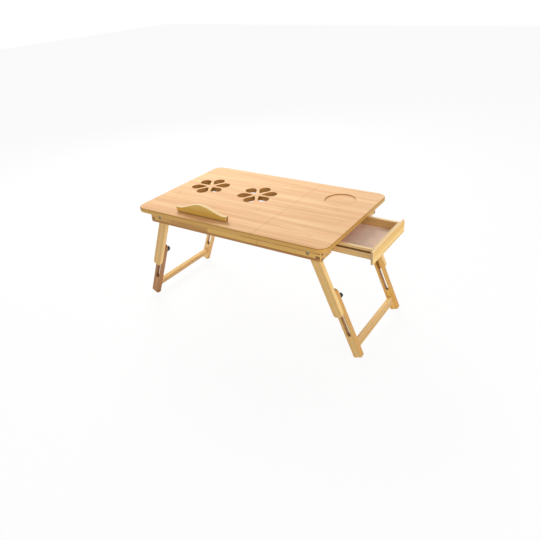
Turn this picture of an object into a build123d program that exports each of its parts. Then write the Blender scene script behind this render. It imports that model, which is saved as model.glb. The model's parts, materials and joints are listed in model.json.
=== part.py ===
from build123d import *
from math import acos, atan2, cos, degrees, hypot, radians, sin
import os

# A folding bamboo laptop desk: a tilting panel and a fixed end on a shallow box of rails, two pairs of
# telescoping legs, a drawer in the right end and a stop bar for the laptop. Millimetres, +Z up, X along the
# desk, the user at -Y. It is drawn with its legs out and its drawer open.

# Top
height = 302.0  # floor to the upper face of the top, legs drawn right out
top_length = 550.0
top_depth = 340.0
top_thick = 12.0
top_corner = 25.0
edge_round = 3.5  # upper edge of the top
under_round = 2.5  # lower edge of the top
fixed_length = 189.0  # right end of the top to the seam where the tilting panel starts
seam_gap = 0.5
cup_from_end = 95.0  # right end of the top to the middle of the cup recess
cup_from_back = 82.0
cup_diameter = 80.0
cup_depth = 2.5
cup_round = 1.0  # around the floor of the recess

# Flower vents in the panel
flower_count = 2
flower_shift = -17.0  # flowers from an even spacing along the panel
flower_from_back = 141.0  # back edge of the top to a flower's middle
petal_count = 6
petal_root = 12.0  # flower's middle to a petal's point
petal_tip = 52.5  # flower's middle to a petal's round end
petal_width = 30.0
petal_point = 2.5  # radius of a petal's narrow end
petal_turn = 30.0  # first petal from the X axis
petal_edge = 0.8

# Stop bar
bar_from_seam = 164.5  # seam to the middle of the bar
bar_setback = 24.0  # top's front edge to the bar's front face
bar_length = 150.0  # along its foot
bar_flare = 4.0  # tips past the ends of the foot
bar_thick = 10.0
bar_end = 14.0
bar_dip = 13.2
bar_dip_in = 9.0  # end of the foot to the lowest place of a dip
bar_crest = 29.8
bar_shoulder = 36.0  # middle of the bar to the middle of its ogee
bar_edge = 1.6
peg_diameter = 6.0
peg_spacing = 96.0
peg_depth = 8.0  # into the panel
peg_clearance = 0.1  # around a peg in the panel
peg_bottom = 0.05  # below a peg's end

# Rails under the top
overhang = 23.0  # top past the rails
rail_height = 33.0
rail_thick = 13.0
rail_corner = 4.0
rail_edge = 1.2
finger_count = 5

# Legs
leg_width = 24.0
leg_thick = 12.0
leg_edge = 1.6
pivot_inset = 19.85  # leg pivot from the end rail's inner face
fold_clearance = 5.0  # folded leg below the top
stop_gap = 0.2  # splayed leg from the end rail that stops it
washer_thick = 1.0
washer_diameter = 16.0
lane_gap = 0.4  # between the upper and the lower leg
upper_reach = 174.5  # pivot to the end of the upper leg
upper_corner = 8.0
knob_reach = 136.0  # pivot to the clamping knob
lower_lap = 26.5  # lower leg above the knob when drawn right out
lower_corner = 9.0
foot_corner = 5.0
foot_bevel = 2.2  # inner corner of the foot, cut level
leg_travel = 92.0
slot_width = 10.0
slot_play = 0.5
stretcher_width = 19.0
stretcher_thick = 12.0
stretcher_up = 30.0  # end of the foot to the middle of the stretcher
stretcher_edge = 2.5
tenon_length = 8.0
tenon_shoulder = 3.0

# Pivot bolts and knobs
bolt_diameter = 6.0
bolt_clearance = 0.05
bolt_head = 9.0
bolt_head_thick = 3.0
bolt_head_sink = 0.3  # head below the wood around it
bolt_head_room = 0.3
knob_diameter = 16.0
knob_length = 19.0
knob_collar = 2.5
knob_collar_round = 0.8
knob_lobes = 5
knob_core = 9.5
lobe_diameter = 4.6
knob_taper = 4.0
knob_gap = 0.3
stud_diameter = 8.0
stud_depth = 9.0  # into the upper leg
stud_clearance = 0.04
stud_bottom = 0.2  # past a stud's end

# Drawer
drawer_near_room = 4.1  # front runner from the front leg beside it
drawer_far_room = 39.1  # back runner from the back leg
drawer_length = 149.0
drawer_height = 25.0
drawer_drop = 3.5  # top of the box below the underside of the top
drawer_wall = 8.0
drawer_front_wall = 6.0
drawer_edge = 1.0
drawer_open = 101.0
floor_thick = 3.0
floor_up = 1.5
floor_tongue = 3.5
groove_drop = 5.5
groove_width = 5.0
groove_depth = 4.5
plate_thick = 6.0
plate_near = 15.0  # past the box at its front side
plate_far = 9.0  # past the box at its back side
plate_gap = 1.0  # below the top
plate_up = 1.0  # above the rails' lower edge
plate_edge = 2.0
mouth_gap = 2.0  # drawer box from the end rails beside it

# Drawer runners
runner_thick = 8.0
runner_length = 123.0
runner_below = 2.5  # runner below its tongue
runner_gap = 0.5
tongue_gap = 0.4
runner_edge = 1.0

# Rail under the seam
seam_rail_width = 20.0
seam_rail_height = 24.0
seam_bearing = 8.0  # under the panel's end
seam_rail_edge = 1.5
knob_room = 2.3  # its ends from the knobs of folded legs

# Panel hinges
hinge_from_end = 62.0  # left end of the front rail to the middle of the left hinge
hinge_from_seam = 76.0
hinge_length = 40.0
leaf_width = 9.0
leaf_thick = 1.0
leaf_gap = 0.05
knuckle_diameter = 4.0
knuckle_room = 0.5  # knuckle from the front rail and from its pocket
knuckle_share = 13.0  # length of the middle knuckle
knuckle_split = 0.4
hinge_pin = 2.0
pin_clearance = 0.05

# Prop under the panel
prop_room = 49.5  # foot of the folded prop from the back rail
wire_diameter = 4.5
wire_bend = 6.0
wire_drop = 4.25  # prop pivot below the panel
wire_clearance = 0.06
foot_length = 9.0  # middle of an arm to the tip of its foot
arm_gap = 2.5  # prop arm from the notched strips
clip_from_arm = 75.0  # prop arm to the middle of the clip nearest to it
clip_length = 12.0
clip_width = 17.0
clip_wall = 2.0
notch_angles = (12.0, 20.0, 28.0, 35.0)
strip_thick = 8.0
strip_depth = 15.0
strip_end = 6.0  # past the first and the last notch
strip_gap = 0.3  # prop foot above the strip

# Cutters run this far past the faces they cut
over = 1.0

# Places worked out from the sizes above
seam_x = top_length / 2 - fixed_length
panel_end = seam_x - seam_gap / 2
cup_x = top_length / 2 - cup_from_end
cup_y = top_depth / 2 - cup_from_back
flower_margin = (panel_end + top_length / 2 - 2 * flower_count * petal_tip) / (flower_count + 1)
flower_start = -top_length / 2 + flower_margin + petal_tip + flower_shift
flower_xs = [flower_start + i * (flower_margin + 2 * petal_tip) for i in range(flower_count)]
flower_y = top_depth / 2 - flower_from_back
bar_middle = seam_x - bar_from_seam
z_under = height - top_thick
z_rail = z_under - rail_height
rail_x = top_length / 2 - overhang
rail_y = top_depth / 2 - overhang
rail_in_x = rail_x - rail_thick
rail_in_y = rail_y - rail_thick
pivot_drop = fold_clearance + leg_width / 2
pivot_x = rail_in_x - pivot_inset
pivot_z = z_under - pivot_drop
stop_drop = rail_height - pivot_drop
splay = degrees(acos((leg_width / 2 + stop_gap) / hypot(pivot_inset, stop_drop)) - atan2(stop_drop, pivot_inset))
upper_y = rail_in_y - washer_thick - leg_thick / 2
lower_y = upper_y - leg_thick - lane_gap
leg_in_y = lower_y - leg_thick / 2
lower_top = knob_reach - lower_lap
foot_reach = (pivot_z + foot_bevel - leg_width / 2 * sin(radians(splay))) / cos(radians(splay))
box_near_y = -leg_in_y + drawer_near_room + runner_thick + runner_gap
box_far_y = leg_in_y - drawer_far_room - runner_thick - runner_gap
box_z = z_under - drawer_drop
box_floor_z = box_z - drawer_height
box_front_x = rail_x + drawer_open
box_back_x = box_front_x - drawer_length
seam_rail_x = panel_end - seam_bearing
seam_rail_y = leg_in_y - knob_gap - knob_length - knob_room
hinge_xs = (-rail_x + hinge_from_end, seam_x - hinge_from_seam)
hinge_y = -rail_y - knuckle_room - knuckle_diameter / 2
prop_reach = (rail_in_y - prop_room - hinge_y) / 2  # hinge to prop pivot, and prop pivot to prop foot
prop_slope = atan2(wire_drop, prop_reach)
prop_arm = hypot(prop_reach, wire_drop)
prop_pivot_y = hinge_y + prop_reach
prop_pivot_z = z_under - wire_drop
prop_left_x = -rail_in_x + strip_thick + arm_gap + wire_diameter / 2
prop_right_x = seam_rail_x - strip_thick - arm_gap - wire_diameter / 2
clip_xs = (prop_left_x + clip_from_arm, prop_right_x - clip_from_arm)


def block(x, y, z):
    """A box between three pairs of limits."""
    sizes = [abs(b - a) for a, b in (x, y, z)]
    middle = [(a + b) / 2 for a, b in (x, y, z)]
    return Pos(*middle) * Box(*sizes)


def rod_x(diameter, x, y, z):
    """A round bar along X between the two limits in x."""
    return Pos(sum(x) / 2, y, z) * Rot(0, 90, 0) * Cylinder(diameter / 2, abs(x[1] - x[0]))


def rod_y(diameter, x, y, z):
    """A round bar along Y between the two limits in y."""
    return Pos(x, sum(y) / 2, z) * Rot(90, 0, 0) * Cylinder(diameter / 2, abs(y[1] - y[0]))


def rod_z(diameter, x, y, z):
    """A round bar along Z between the two limits in z."""
    return Pos(x, y, sum(z) / 2) * Cylinder(diameter / 2, abs(z[1] - z[0]))


def joined(shapes):
    """All the shapes fused into one."""
    first, *others = shapes
    return first.fuse(*others) if others else first


def group(shapes):
    """Separate solids that share one node."""
    return Compound([solid for shape in shapes for solid in shape.solids()])


# Top

def whole_top():
    """The whole board with its rounded edge, before it is sawn at the seam."""
    board = Pos(0, 0, z_under) * extrude(RectangleRounded(top_length, top_depth, top_corner), top_thick)
    board = fillet(board.faces().sort_by(Axis.Z)[-1].edges(), edge_round)
    return fillet(board.faces().sort_by(Axis.Z)[0].edges(), under_round)


def flower_cutter():
    """Six teardrop petals, each narrowing to the flower's middle, as deep as the board."""
    root = Pos(petal_root + petal_point, 0) * Circle(petal_point)
    tip = Pos(petal_tip - petal_width / 2, 0) * Circle(petal_width / 2)
    petal = extrude(make_hull([*root.edges(), *tip.edges()]), top_thick)
    return [Rot(0, 0, petal_turn + 360 * i / petal_count) * petal for i in range(petal_count)]


def peg_places():
    y = -top_depth / 2 + bar_setback + bar_thick / 2
    return [(bar_middle + side * peg_spacing / 2, y) for side in (-1, 1)]


def tilt_panel():
    panel = whole_top() & block((-top_length, panel_end), (-top_depth, top_depth), (0, 2 * height))
    for x in flower_xs:
        panel = panel - [Pos(x, flower_y, z_under) * petal for petal in flower_cutter()]
    panel = fillet(panel.faces().sort_by(Axis.Z)[-1].inner_wires().edges(), petal_edge)
    for x, y in peg_places():
        panel -= rod_z(peg_diameter + 2 * peg_clearance, x, y, (height - peg_depth - peg_bottom, height + over))
    for x in hinge_xs:
        panel -= leaf_space(x, 1)
        panel -= rod_x(knuckle_diameter + 2 * knuckle_room, hinge_span(x, knuckle_split), hinge_y, z_under)
    return panel


def fixed_top():
    board = whole_top() & block((panel_end + seam_gap, top_length), (-top_depth, top_depth), (0, 2 * height))
    board -= rod_z(cup_diameter, cup_x, cup_y, (height - cup_depth, height + over))
    rim = board.edges().filter_by(GeomType.CIRCLE).filter_by(lambda e: abs(e.radius - cup_diameter / 2) < 0.01)
    return fillet(rim.sort_by(Axis.Z)[:1], cup_round)


# Stop bar

def stop_bar():
    """A ledge with a rounded crest between two dipped ends, on two pegs."""
    y = -top_depth / 2 + bar_setback
    half = bar_length / 2
    rise = (bar_dip + bar_crest) / 2
    tip = half + bar_flare
    ogee = [(-tip, bar_end), (bar_dip_in - half, bar_dip), (-bar_shoulder, rise), (0, bar_crest)]
    ogee += [(-a, b) for a, b in reversed(ogee[:-1])]
    crest = Spline(*ogee)
    base = Polyline((tip, bar_end), (half, 0), (-half, 0), (-tip, bar_end))
    bar = extrude(Plane.XZ * make_face([crest, base]), -bar_thick)
    bar = fillet(bar.faces().filter_by(Axis.Y).edges(), bar_edge)
    bar = Pos(bar_middle, y, height) * bar
    for x, y_peg in peg_places():
        bar -= rod_z(peg_diameter, x, y_peg, (height - over, height + peg_depth))
    return bar


def stop_bar_pegs():
    return [rod_z(peg_diameter, x, y, (height - peg_depth, height + peg_depth)) for x, y in peg_places()]


# Rails

def finger_slots(odd):
    """The heights of every other finger of a corner joint."""
    step = rail_height / finger_count
    return [(z_rail + i * step, z_rail + (i + 1) * step) for i in range(finger_count) if i % 2 == odd]


def rail_outline():
    return Pos(0, 0, z_rail) * extrude(RectangleRounded(2 * rail_x, 2 * rail_y, rail_corner), rail_height)


def long_rail(side):
    """The front rail with side -1, the back rail with side 1."""
    rail = block((-rail_x, rail_x), (side * rail_in_y, side * rail_y), (z_rail, z_under))
    rail = fillet(rail.edges().filter_by(Axis.X).group_by(Axis.Z)[0], rail_edge) & rail_outline()
    for end in (-1, 1):
        for z in finger_slots(1):
            rail -= block((end * rail_in_x, end * top_length), (-top_depth, top_depth), z)
        x = end * pivot_x
        rail -= rod_y(bolt_diameter + 2 * bolt_clearance, x, (-top_depth, top_depth), pivot_z)
        sink = rail_y - bolt_head_thick - bolt_head_sink
        rail -= rod_y(bolt_head + 2 * bolt_head_room, x, (side * sink, side * top_depth), pivot_z)
    if side < 0:
        for x in hinge_xs:
            rail -= leaf_space(x, -1)
    return rail


def end_rail(side, y):
    """A rail across one end, or a piece of one, between two limits in y."""
    rail = block((side * rail_in_x, side * rail_x), y, (z_rail, z_under))
    rail = fillet(rail.edges().filter_by(Axis.Y).group_by(Axis.Z)[0], rail_edge) & rail_outline()
    for end in (-1, 1):
        for z in finger_slots(0):
            rail -= block((-top_length, top_length), (end * rail_in_y, end * top_depth), z)
    return rail


def seam_rail():
    """A short rail under the seam, which carries the panel's free end."""
    x = (seam_rail_x, seam_rail_x + seam_rail_width)
    rail = block(x, (-seam_rail_y, seam_rail_y), (z_under - seam_rail_height, z_under))
    return fillet(rail.edges().filter_by(Axis.Y).group_by(Axis.Z)[0], seam_rail_edge)


# Panel hinges

def hinge_span(x, extra=0.0):
    half = hinge_length / 2 + extra
    return (x - half, x + half)


def leaf_space(x, side):
    """The mortise for one leaf, in the panel with side 1 and in the rail with side -1."""
    y = (hinge_y, -rail_y + leaf_width + leaf_gap)
    return block(hinge_span(x, leaf_gap), y, (z_under, z_under + side * (leaf_thick + leaf_gap)))


def hinge_leaf(x, side):
    """One leaf: its plate, and the knuckles that reach round the pin."""
    near = z_under + side * leaf_gap
    z = (near, near + side * (leaf_thick - leaf_gap))
    middle = (x - knuckle_share / 2, x + knuckle_share / 2)
    start, end = hinge_span(x)
    outer = [(start, middle[0] - knuckle_split), (middle[1] + knuckle_split, end)]
    leaf = block(hinge_span(x), (-rail_y + leaf_gap, -rail_y + leaf_width), z)
    for span in [middle] if side > 0 else outer:
        leaf += block(span, (hinge_y, -rail_y + 2 * leaf_gap), z)
        leaf += rod_x(knuckle_diameter, span, hinge_y, z_under)
    if side > 0:
        return leaf - rod_x(hinge_pin + 2 * pin_clearance, hinge_span(x), hinge_y, z_under)
    return leaf + rod_x(hinge_pin, hinge_span(x, knuckle_split), hinge_y, z_under)


# Prop

def prop_foot(angle):
    """Where the prop's foot stands, in y and z, with the panel tilted by the angle in degrees."""
    reach = 2 * prop_arm * cos(radians(angle))
    return hinge_y + reach * cos(prop_slope), z_under - reach * sin(prop_slope)


def prop_wire():
    """A wire bail: a bar in the panel's clips, two arms, and two feet turned outward."""
    y, z = prop_foot(0)
    ends = [(prop_left_x, -1), (prop_right_x, 1)]
    feet = [[(x + side * foot_length, y, z), (x, y, z)] for x, side in ends]
    bar = [(x, prop_pivot_y, prop_pivot_z) for x, _ in ends]
    path = FilletPolyline(*feet[0], *bar, *reversed(feet[1]), radius=wire_bend)
    section = Plane(origin=feet[0][0], z_dir=(1, 0, 0)) * Circle(wire_diameter / 2)
    return sweep(section, path=path)


def prop_clip(x):
    low = prop_pivot_z - wire_diameter / 2 - clip_wall
    half = clip_length / 2
    clip = block((x - half, x + half), (prop_pivot_y - clip_width / 2, prop_pivot_y + clip_width / 2), (low, z_under))
    clip = fillet(clip.edges().filter_by(Axis.X).group_by(Axis.Z)[0], clip_wall + wire_diameter / 2)
    bore = wire_diameter + 2 * wire_clearance
    return clip - rod_x(bore, (x - clip_length, x + clip_length), prop_pivot_y, prop_pivot_z)


def notched_strip(x):
    """A strip whose upper edge has one notch for each tilt."""
    drop = wire_diameter / 2 + strip_gap
    (y0, z0), (y1, z1) = prop_foot(max(notch_angles)), prop_foot(min(notch_angles))
    slope = (z1 - z0) / (y1 - y0)
    low_y, high_y = y0 - strip_end, y1 + strip_end
    edge = [(low_y, z0 - drop - slope * strip_end), (high_y, z1 - drop + slope * strip_end)]
    base = [(high_y, edge[1][1] - strip_depth), (low_y, edge[1][1] - strip_depth)]
    side = make_face(Polyline(*edge, *base, close=True))
    strip = extrude(Plane(origin=(min(x), 0, 0), x_dir=(0, 1, 0), z_dir=(1, 0, 0)) * side, strip_thick)
    for angle in notch_angles:
        y, z = prop_foot(angle)
        strip -= rod_x(wire_diameter + 2 * strip_gap, (min(x) - over, max(x) + over), y, z - drop)
    return strip


# Legs, drawn for the front right corner and mirrored to the others

def splayed(shape):
    """Turns a leg that hangs straight down from its pivot to its splay."""
    return Pos(pivot_x, 0, pivot_z) * Rot(0, -splay, 0) * shape


def upper_leg():
    outline = Pos(0, -upper_reach / 2) * Rectangle(leg_width, upper_reach)
    outline = fillet(outline.vertices().group_by(Axis.Y)[0], upper_corner) + Circle(leg_width / 2)
    leg = extrude(Plane.XZ * outline, leg_thick / 2, both=True)
    leg = Pos(0, -upper_y, 0) * fillet(leg.faces().filter_by(Axis.Y).edges(), leg_edge)
    inner = -upper_y + leg_thick / 2
    leg -= rod_y(bolt_diameter + 2 * bolt_clearance, 0, (-rail_y, 0), 0)
    leg -= rod_y(bolt_head + 2 * bolt_head_room, 0, (inner - bolt_head_thick - bolt_head_sink, 0), 0)
    leg -= rod_y(stud_diameter + 2 * stud_clearance, 0, (inner - stud_depth - stud_bottom, 0), -knob_reach)
    return splayed(leg)


def lower_leg():
    length = foot_reach - lower_top
    outline = Pos(0, -lower_top - length / 2) * Rectangle(leg_width, length)
    outline = fillet(outline.vertices().group_by(Axis.Y)[-1], lower_corner)
    outline = fillet(outline.vertices().group_by(Axis.Y)[0].sort_by(Axis.X)[-1:], foot_corner)
    leg = extrude(Plane.XZ * outline, leg_thick / 2, both=True)
    leg = Pos(0, -lower_y, 0) * fillet(leg.faces().filter_by(Axis.Y).edges(), leg_edge)
    run = leg_travel + 2 * slot_play
    slot = Pos(0, -knob_reach + slot_play - run / 2) * Rot(0, 0, 90) * SlotCenterToCenter(run, slot_width)
    leg -= extrude(Plane.XZ * slot, top_depth, both=True)
    leg -= stretcher_tenon()
    return splayed(leg) - block((-top_length, top_length), (-top_depth, top_depth), (-height, 0))


def stretcher_tenon():
    """The end of the stretcher that goes into the front leg, as deep as its mortise."""
    middle = stretcher_up - foot_reach
    half = stretcher_width / 2 - tenon_shoulder
    x = stretcher_thick / 2 - tenon_shoulder
    return block((-x, x), (-leg_in_y - tenon_length, -leg_in_y + leg_edge), (middle - half, middle + half))


def stretcher():
    middle = stretcher_up - foot_reach
    half = stretcher_width / 2
    bar = block((-stretcher_thick / 2, stretcher_thick / 2), (-leg_in_y, leg_in_y), (middle - half, middle + half))
    bar = fillet(bar.edges().filter_by(Axis.Y), stretcher_edge)
    tenon = stretcher_tenon()
    return splayed(joined([bar, tenon, mirror(tenon, about=Plane.XZ)]))


def knob():
    """A lobed black knob with a collar, on the stud that clamps the two legs together."""
    lobe_at = (knob_core - lobe_diameter / 2) / 2
    star = Circle(knob_core / 2)
    star += PolarLocations(lobe_at + lobe_diameter / 2, knob_lobes) * Circle(lobe_diameter / 2)
    grip = extrude(star, knob_length - knob_collar, taper=knob_taper)
    collar = Pos(0, 0, -knob_collar) * extrude(Circle(knob_diameter / 2), knob_collar)
    collar = fillet(collar.edges(), knob_collar_round)
    reach = knob_collar + knob_gap + leg_thick + lane_gap + stud_depth
    stud = Pos(0, 0, -reach) * extrude(Circle(stud_diameter / 2), reach)
    whole = Pos(0, 0, knob_collar) * joined([grip, collar, stud])
    return splayed(Pos(0, -leg_in_y + knob_gap, -knob_reach) * Rot(-90, 0, 0) * whole)


def pivot_bolt():
    """A bolt with a sunk head in the rail and a sunk cap in the upper leg."""
    outer = -rail_y + bolt_head_sink
    inner = -upper_y + leg_thick / 2 - bolt_head_sink
    head = rod_y(bolt_head, pivot_x, (outer, outer + bolt_head_thick), pivot_z)
    cap = rod_y(bolt_head, pivot_x, (inner - bolt_head_thick, inner), pivot_z)
    return joined([rod_y(bolt_diameter, pivot_x, (outer, inner), pivot_z), head, cap])


def pivot_washer():
    y = (-rail_in_y, -rail_in_y + washer_thick)
    ring = rod_y(washer_diameter, pivot_x, y, pivot_z)
    return ring - rod_y(bolt_diameter + 2 * bolt_clearance, pivot_x, y, pivot_z)


def at_corner(shape, side, face):
    """Takes a front right piece to the left with side left, and to the back with face back."""
    if side == "left":
        shape = mirror(shape, about=Plane.YZ)
    if face == "back":
        shape = mirror(shape, about=Plane.XZ)
    return shape


# Drawer

def drawer_side(side):
    """A side of the box, with a groove outside for the runner and one inside for the floor."""
    outer = box_near_y if side < 0 else box_far_y
    inner = outer - side * drawer_wall
    wall = block((box_back_x, box_front_x), (inner, outer), (box_floor_z, box_z))
    wall = fillet(wall.edges().filter_by(Axis.X).group_by(Axis.Z)[-1], drawer_edge)
    z = box_z - groove_drop
    wall -= block((0, top_length), (outer - side * groove_depth, outer + side * over), (z - groove_width, z))
    return wall - drawer_floor()


def drawer_cross(x):
    """The wall across the box between two limits in x."""
    y = (box_near_y + drawer_wall, box_far_y - drawer_wall)
    wall = block(x, y, (box_floor_z, box_z))
    wall = fillet(wall.edges().filter_by(Axis.Y).group_by(Axis.Z)[-1], drawer_edge)
    return wall - drawer_floor()


def drawer_floor():
    inset = drawer_wall - floor_tongue
    z = box_floor_z + floor_up
    x = (box_back_x + inset, box_front_x - drawer_front_wall + floor_tongue)
    return block(x, (box_near_y + inset, box_far_y - inset), (z, z + floor_thick))


def drawer_plate():
    """The front plate, wider and deeper than the box, which closes against the end rails."""
    y = (box_near_y - plate_near, box_far_y + plate_far)
    z = (z_rail + plate_up, z_under - plate_gap)
    plate = block((box_front_x, box_front_x + plate_thick), y, z)
    return fillet(plate.faces().sort_by(Axis.X)[-1].edges(), plate_edge)


def drawer_runner(side):
    """A strip under the fixed top with a tongue that carries the drawer's side."""
    face = (box_near_y if side < 0 else box_far_y) + side * runner_gap
    tongue_z = box_z - groove_drop - tongue_gap
    tongue_low = tongue_z - groove_width + 2 * tongue_gap
    x = (rail_in_x - runner_length, rail_in_x)
    strip = block(x, (face, face + side * runner_thick), (tongue_low - runner_below, z_under))
    strip = fillet(strip.edges().filter_by(Axis.X).group_by(Axis.Z)[0], runner_edge)
    tip = face - side * (runner_gap + groove_depth - tongue_gap)
    return strip + block(x, (tip, face), (tongue_low, tongue_z))


def leg_nodes():
    nodes = {}
    for side in ("left", "right"):
        for face in ("front", "back"):
            for name, make in (("upper_leg", upper_leg), ("lower_leg", lower_leg), ("knob", knob)):
                nodes[f"{side}_{face}_{name}"] = at_corner(make(), side, face)
        nodes[f"{side}_stretcher"] = at_corner(stretcher(), side, "front")
    corners = [(side, face) for side in ("left", "right") for face in ("front", "back")]
    nodes["leg_pivot_bolts"] = group(at_corner(pivot_bolt(), *corner) for corner in corners)
    nodes["leg_pivot_washers"] = group(at_corner(pivot_washer(), *corner) for corner in corners)
    return nodes


def frame_nodes():
    strips = {"left": (-rail_in_x, -rail_in_x + strip_thick), "right": (seam_rail_x - strip_thick, seam_rail_x)}
    nodes = {
        "front_rail": long_rail(-1),
        "back_rail": long_rail(1),
        "left_end_rail": end_rail(-1, (-rail_y, rail_y)),
        "right_end_rail_front": end_rail(1, (-rail_y, box_near_y - mouth_gap)),
        "right_end_rail_back": end_rail(1, (box_far_y + mouth_gap, rail_y)),
        "fixed_top": fixed_top(),
        "seam_rail": seam_rail(),
        "drawer_runner_front": drawer_runner(-1),
        "drawer_runner_back": drawer_runner(1),
    }
    for side, x in strips.items():
        nodes[f"notched_strip_{side}"] = notched_strip(x)
    return nodes


def panel_nodes():
    nodes = {"tilt_panel": tilt_panel(), "stop_bar": stop_bar(), "prop_wire": prop_wire()}
    nodes["stop_bar_pegs"] = group(stop_bar_pegs())
    nodes["prop_clips"] = group(prop_clip(x) for x in clip_xs)
    for side, x in zip(("left", "right"), hinge_xs):
        nodes[f"hinge_rail_leaf_{side}"] = hinge_leaf(x, -1)
        nodes[f"hinge_panel_leaf_{side}"] = hinge_leaf(x, 1)
    return nodes


def drawer_nodes():
    return {
        "drawer_side_front": drawer_side(-1),
        "drawer_side_back": drawer_side(1),
        "drawer_inner_front": drawer_cross((box_front_x - drawer_front_wall, box_front_x)),
        "drawer_back": drawer_cross((box_back_x, box_back_x + drawer_wall)),
        "drawer_floor": drawer_floor(),
        "drawer_plate": drawer_plate(),
    }


def main():
    os.makedirs("parts", exist_ok=True)
    nodes = {**frame_nodes(), **panel_nodes(), **drawer_nodes(), **leg_nodes()}
    boxes = [shape.bounding_box() for shape in nodes.values()]
    # the origin is on the floor, under the middle of the whole desk with its drawer open
    middle = (min(b.min.X for b in boxes) + max(b.max.X for b in boxes)) / 2
    for name, shape in nodes.items():
        export_step(Pos(-middle, 0, 0) * shape, f"parts/{name}.step")
    print(f"{len(nodes)} pieces, desk's middle at x {-middle:.3f}, splay {splay:.3f}, foot at {foot_reach:.3f}")


main()
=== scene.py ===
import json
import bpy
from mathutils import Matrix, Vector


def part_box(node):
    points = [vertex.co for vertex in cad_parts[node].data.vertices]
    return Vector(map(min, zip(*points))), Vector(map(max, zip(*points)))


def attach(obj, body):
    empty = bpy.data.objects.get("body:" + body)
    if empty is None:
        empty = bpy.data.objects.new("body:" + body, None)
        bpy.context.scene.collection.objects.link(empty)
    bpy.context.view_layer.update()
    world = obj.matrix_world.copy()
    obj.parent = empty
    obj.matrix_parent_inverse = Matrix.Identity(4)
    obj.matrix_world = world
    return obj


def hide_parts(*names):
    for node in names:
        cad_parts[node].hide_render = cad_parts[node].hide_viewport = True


bl_info = {
    "name": "Bamboo laptop desk",
    "version": (1, 0, 0),
    "blender": (4, 5, 0),
    "location": "View3D > Sidebar > Laptop desk",
    "description": "Dresses the packed laptop desk in lacquered bamboo, with its bolts, screws and knobs",
    "category": "Object",
}

from functools import partial
from math import atan2, cos, pi, radians

import bpy
from bpy.props import FloatProperty, IntProperty, PointerProperty, StringProperty
from mathutils import Euler, Matrix, Vector

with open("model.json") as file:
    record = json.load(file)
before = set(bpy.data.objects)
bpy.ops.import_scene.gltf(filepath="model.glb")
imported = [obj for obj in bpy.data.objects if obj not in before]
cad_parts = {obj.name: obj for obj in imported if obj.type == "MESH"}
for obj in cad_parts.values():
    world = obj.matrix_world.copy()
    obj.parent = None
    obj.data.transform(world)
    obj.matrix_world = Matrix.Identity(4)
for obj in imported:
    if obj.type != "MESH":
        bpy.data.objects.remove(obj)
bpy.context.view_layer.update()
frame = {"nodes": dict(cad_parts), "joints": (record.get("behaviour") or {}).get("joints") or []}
joints = {joint["name"]: joint for joint in frame["joints"]}

SIDES = ("left", "right")
FACES = ("front", "back")
ACROSS = (0, 0, -pi / 2)  # turns a grain along Y to X

# Length and width of the streaks in the grain, in metres. The fibres of bamboo are a millimetre wide or less,
# so the coarse streaks are drawn wider than real, to show in the render.
STREAKS = {"broad": (0.34, 0.040), "coarse": (0.20, 0.005), "fine": (0.045, 0.001), "rosy": (0.15, 0.011)}
PORES = 900.0  # bundles of fibres to a metre of a cut end
# where the ring of a culm joint and the flecks beside it fade, as distances from the joint in metres
JOINT_RING, JOINT_FLECKS = (0.0004, 0.0022), (0.001, 0.011)
JOINT_SWAY = 0.006  # how far a culm joint wanders along the grain, in metres
STRIP_DEPTH = 1.7  # depth of a strip, as a share of its width
GLUE_LINE = 0.0005  # glue between two strips is hair-thin; it is drawn coarser, half a millimetre, to show
RELIEF = 0.0003  # depth of the fibres under the lacquer, in metres

# settings of the nodes that fade from one value to another, and of those that mix colours
SMOOTH = {"interpolation_type": "SMOOTHSTEP"}
COLOUR = {"data_type": "RGBA"}


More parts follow.
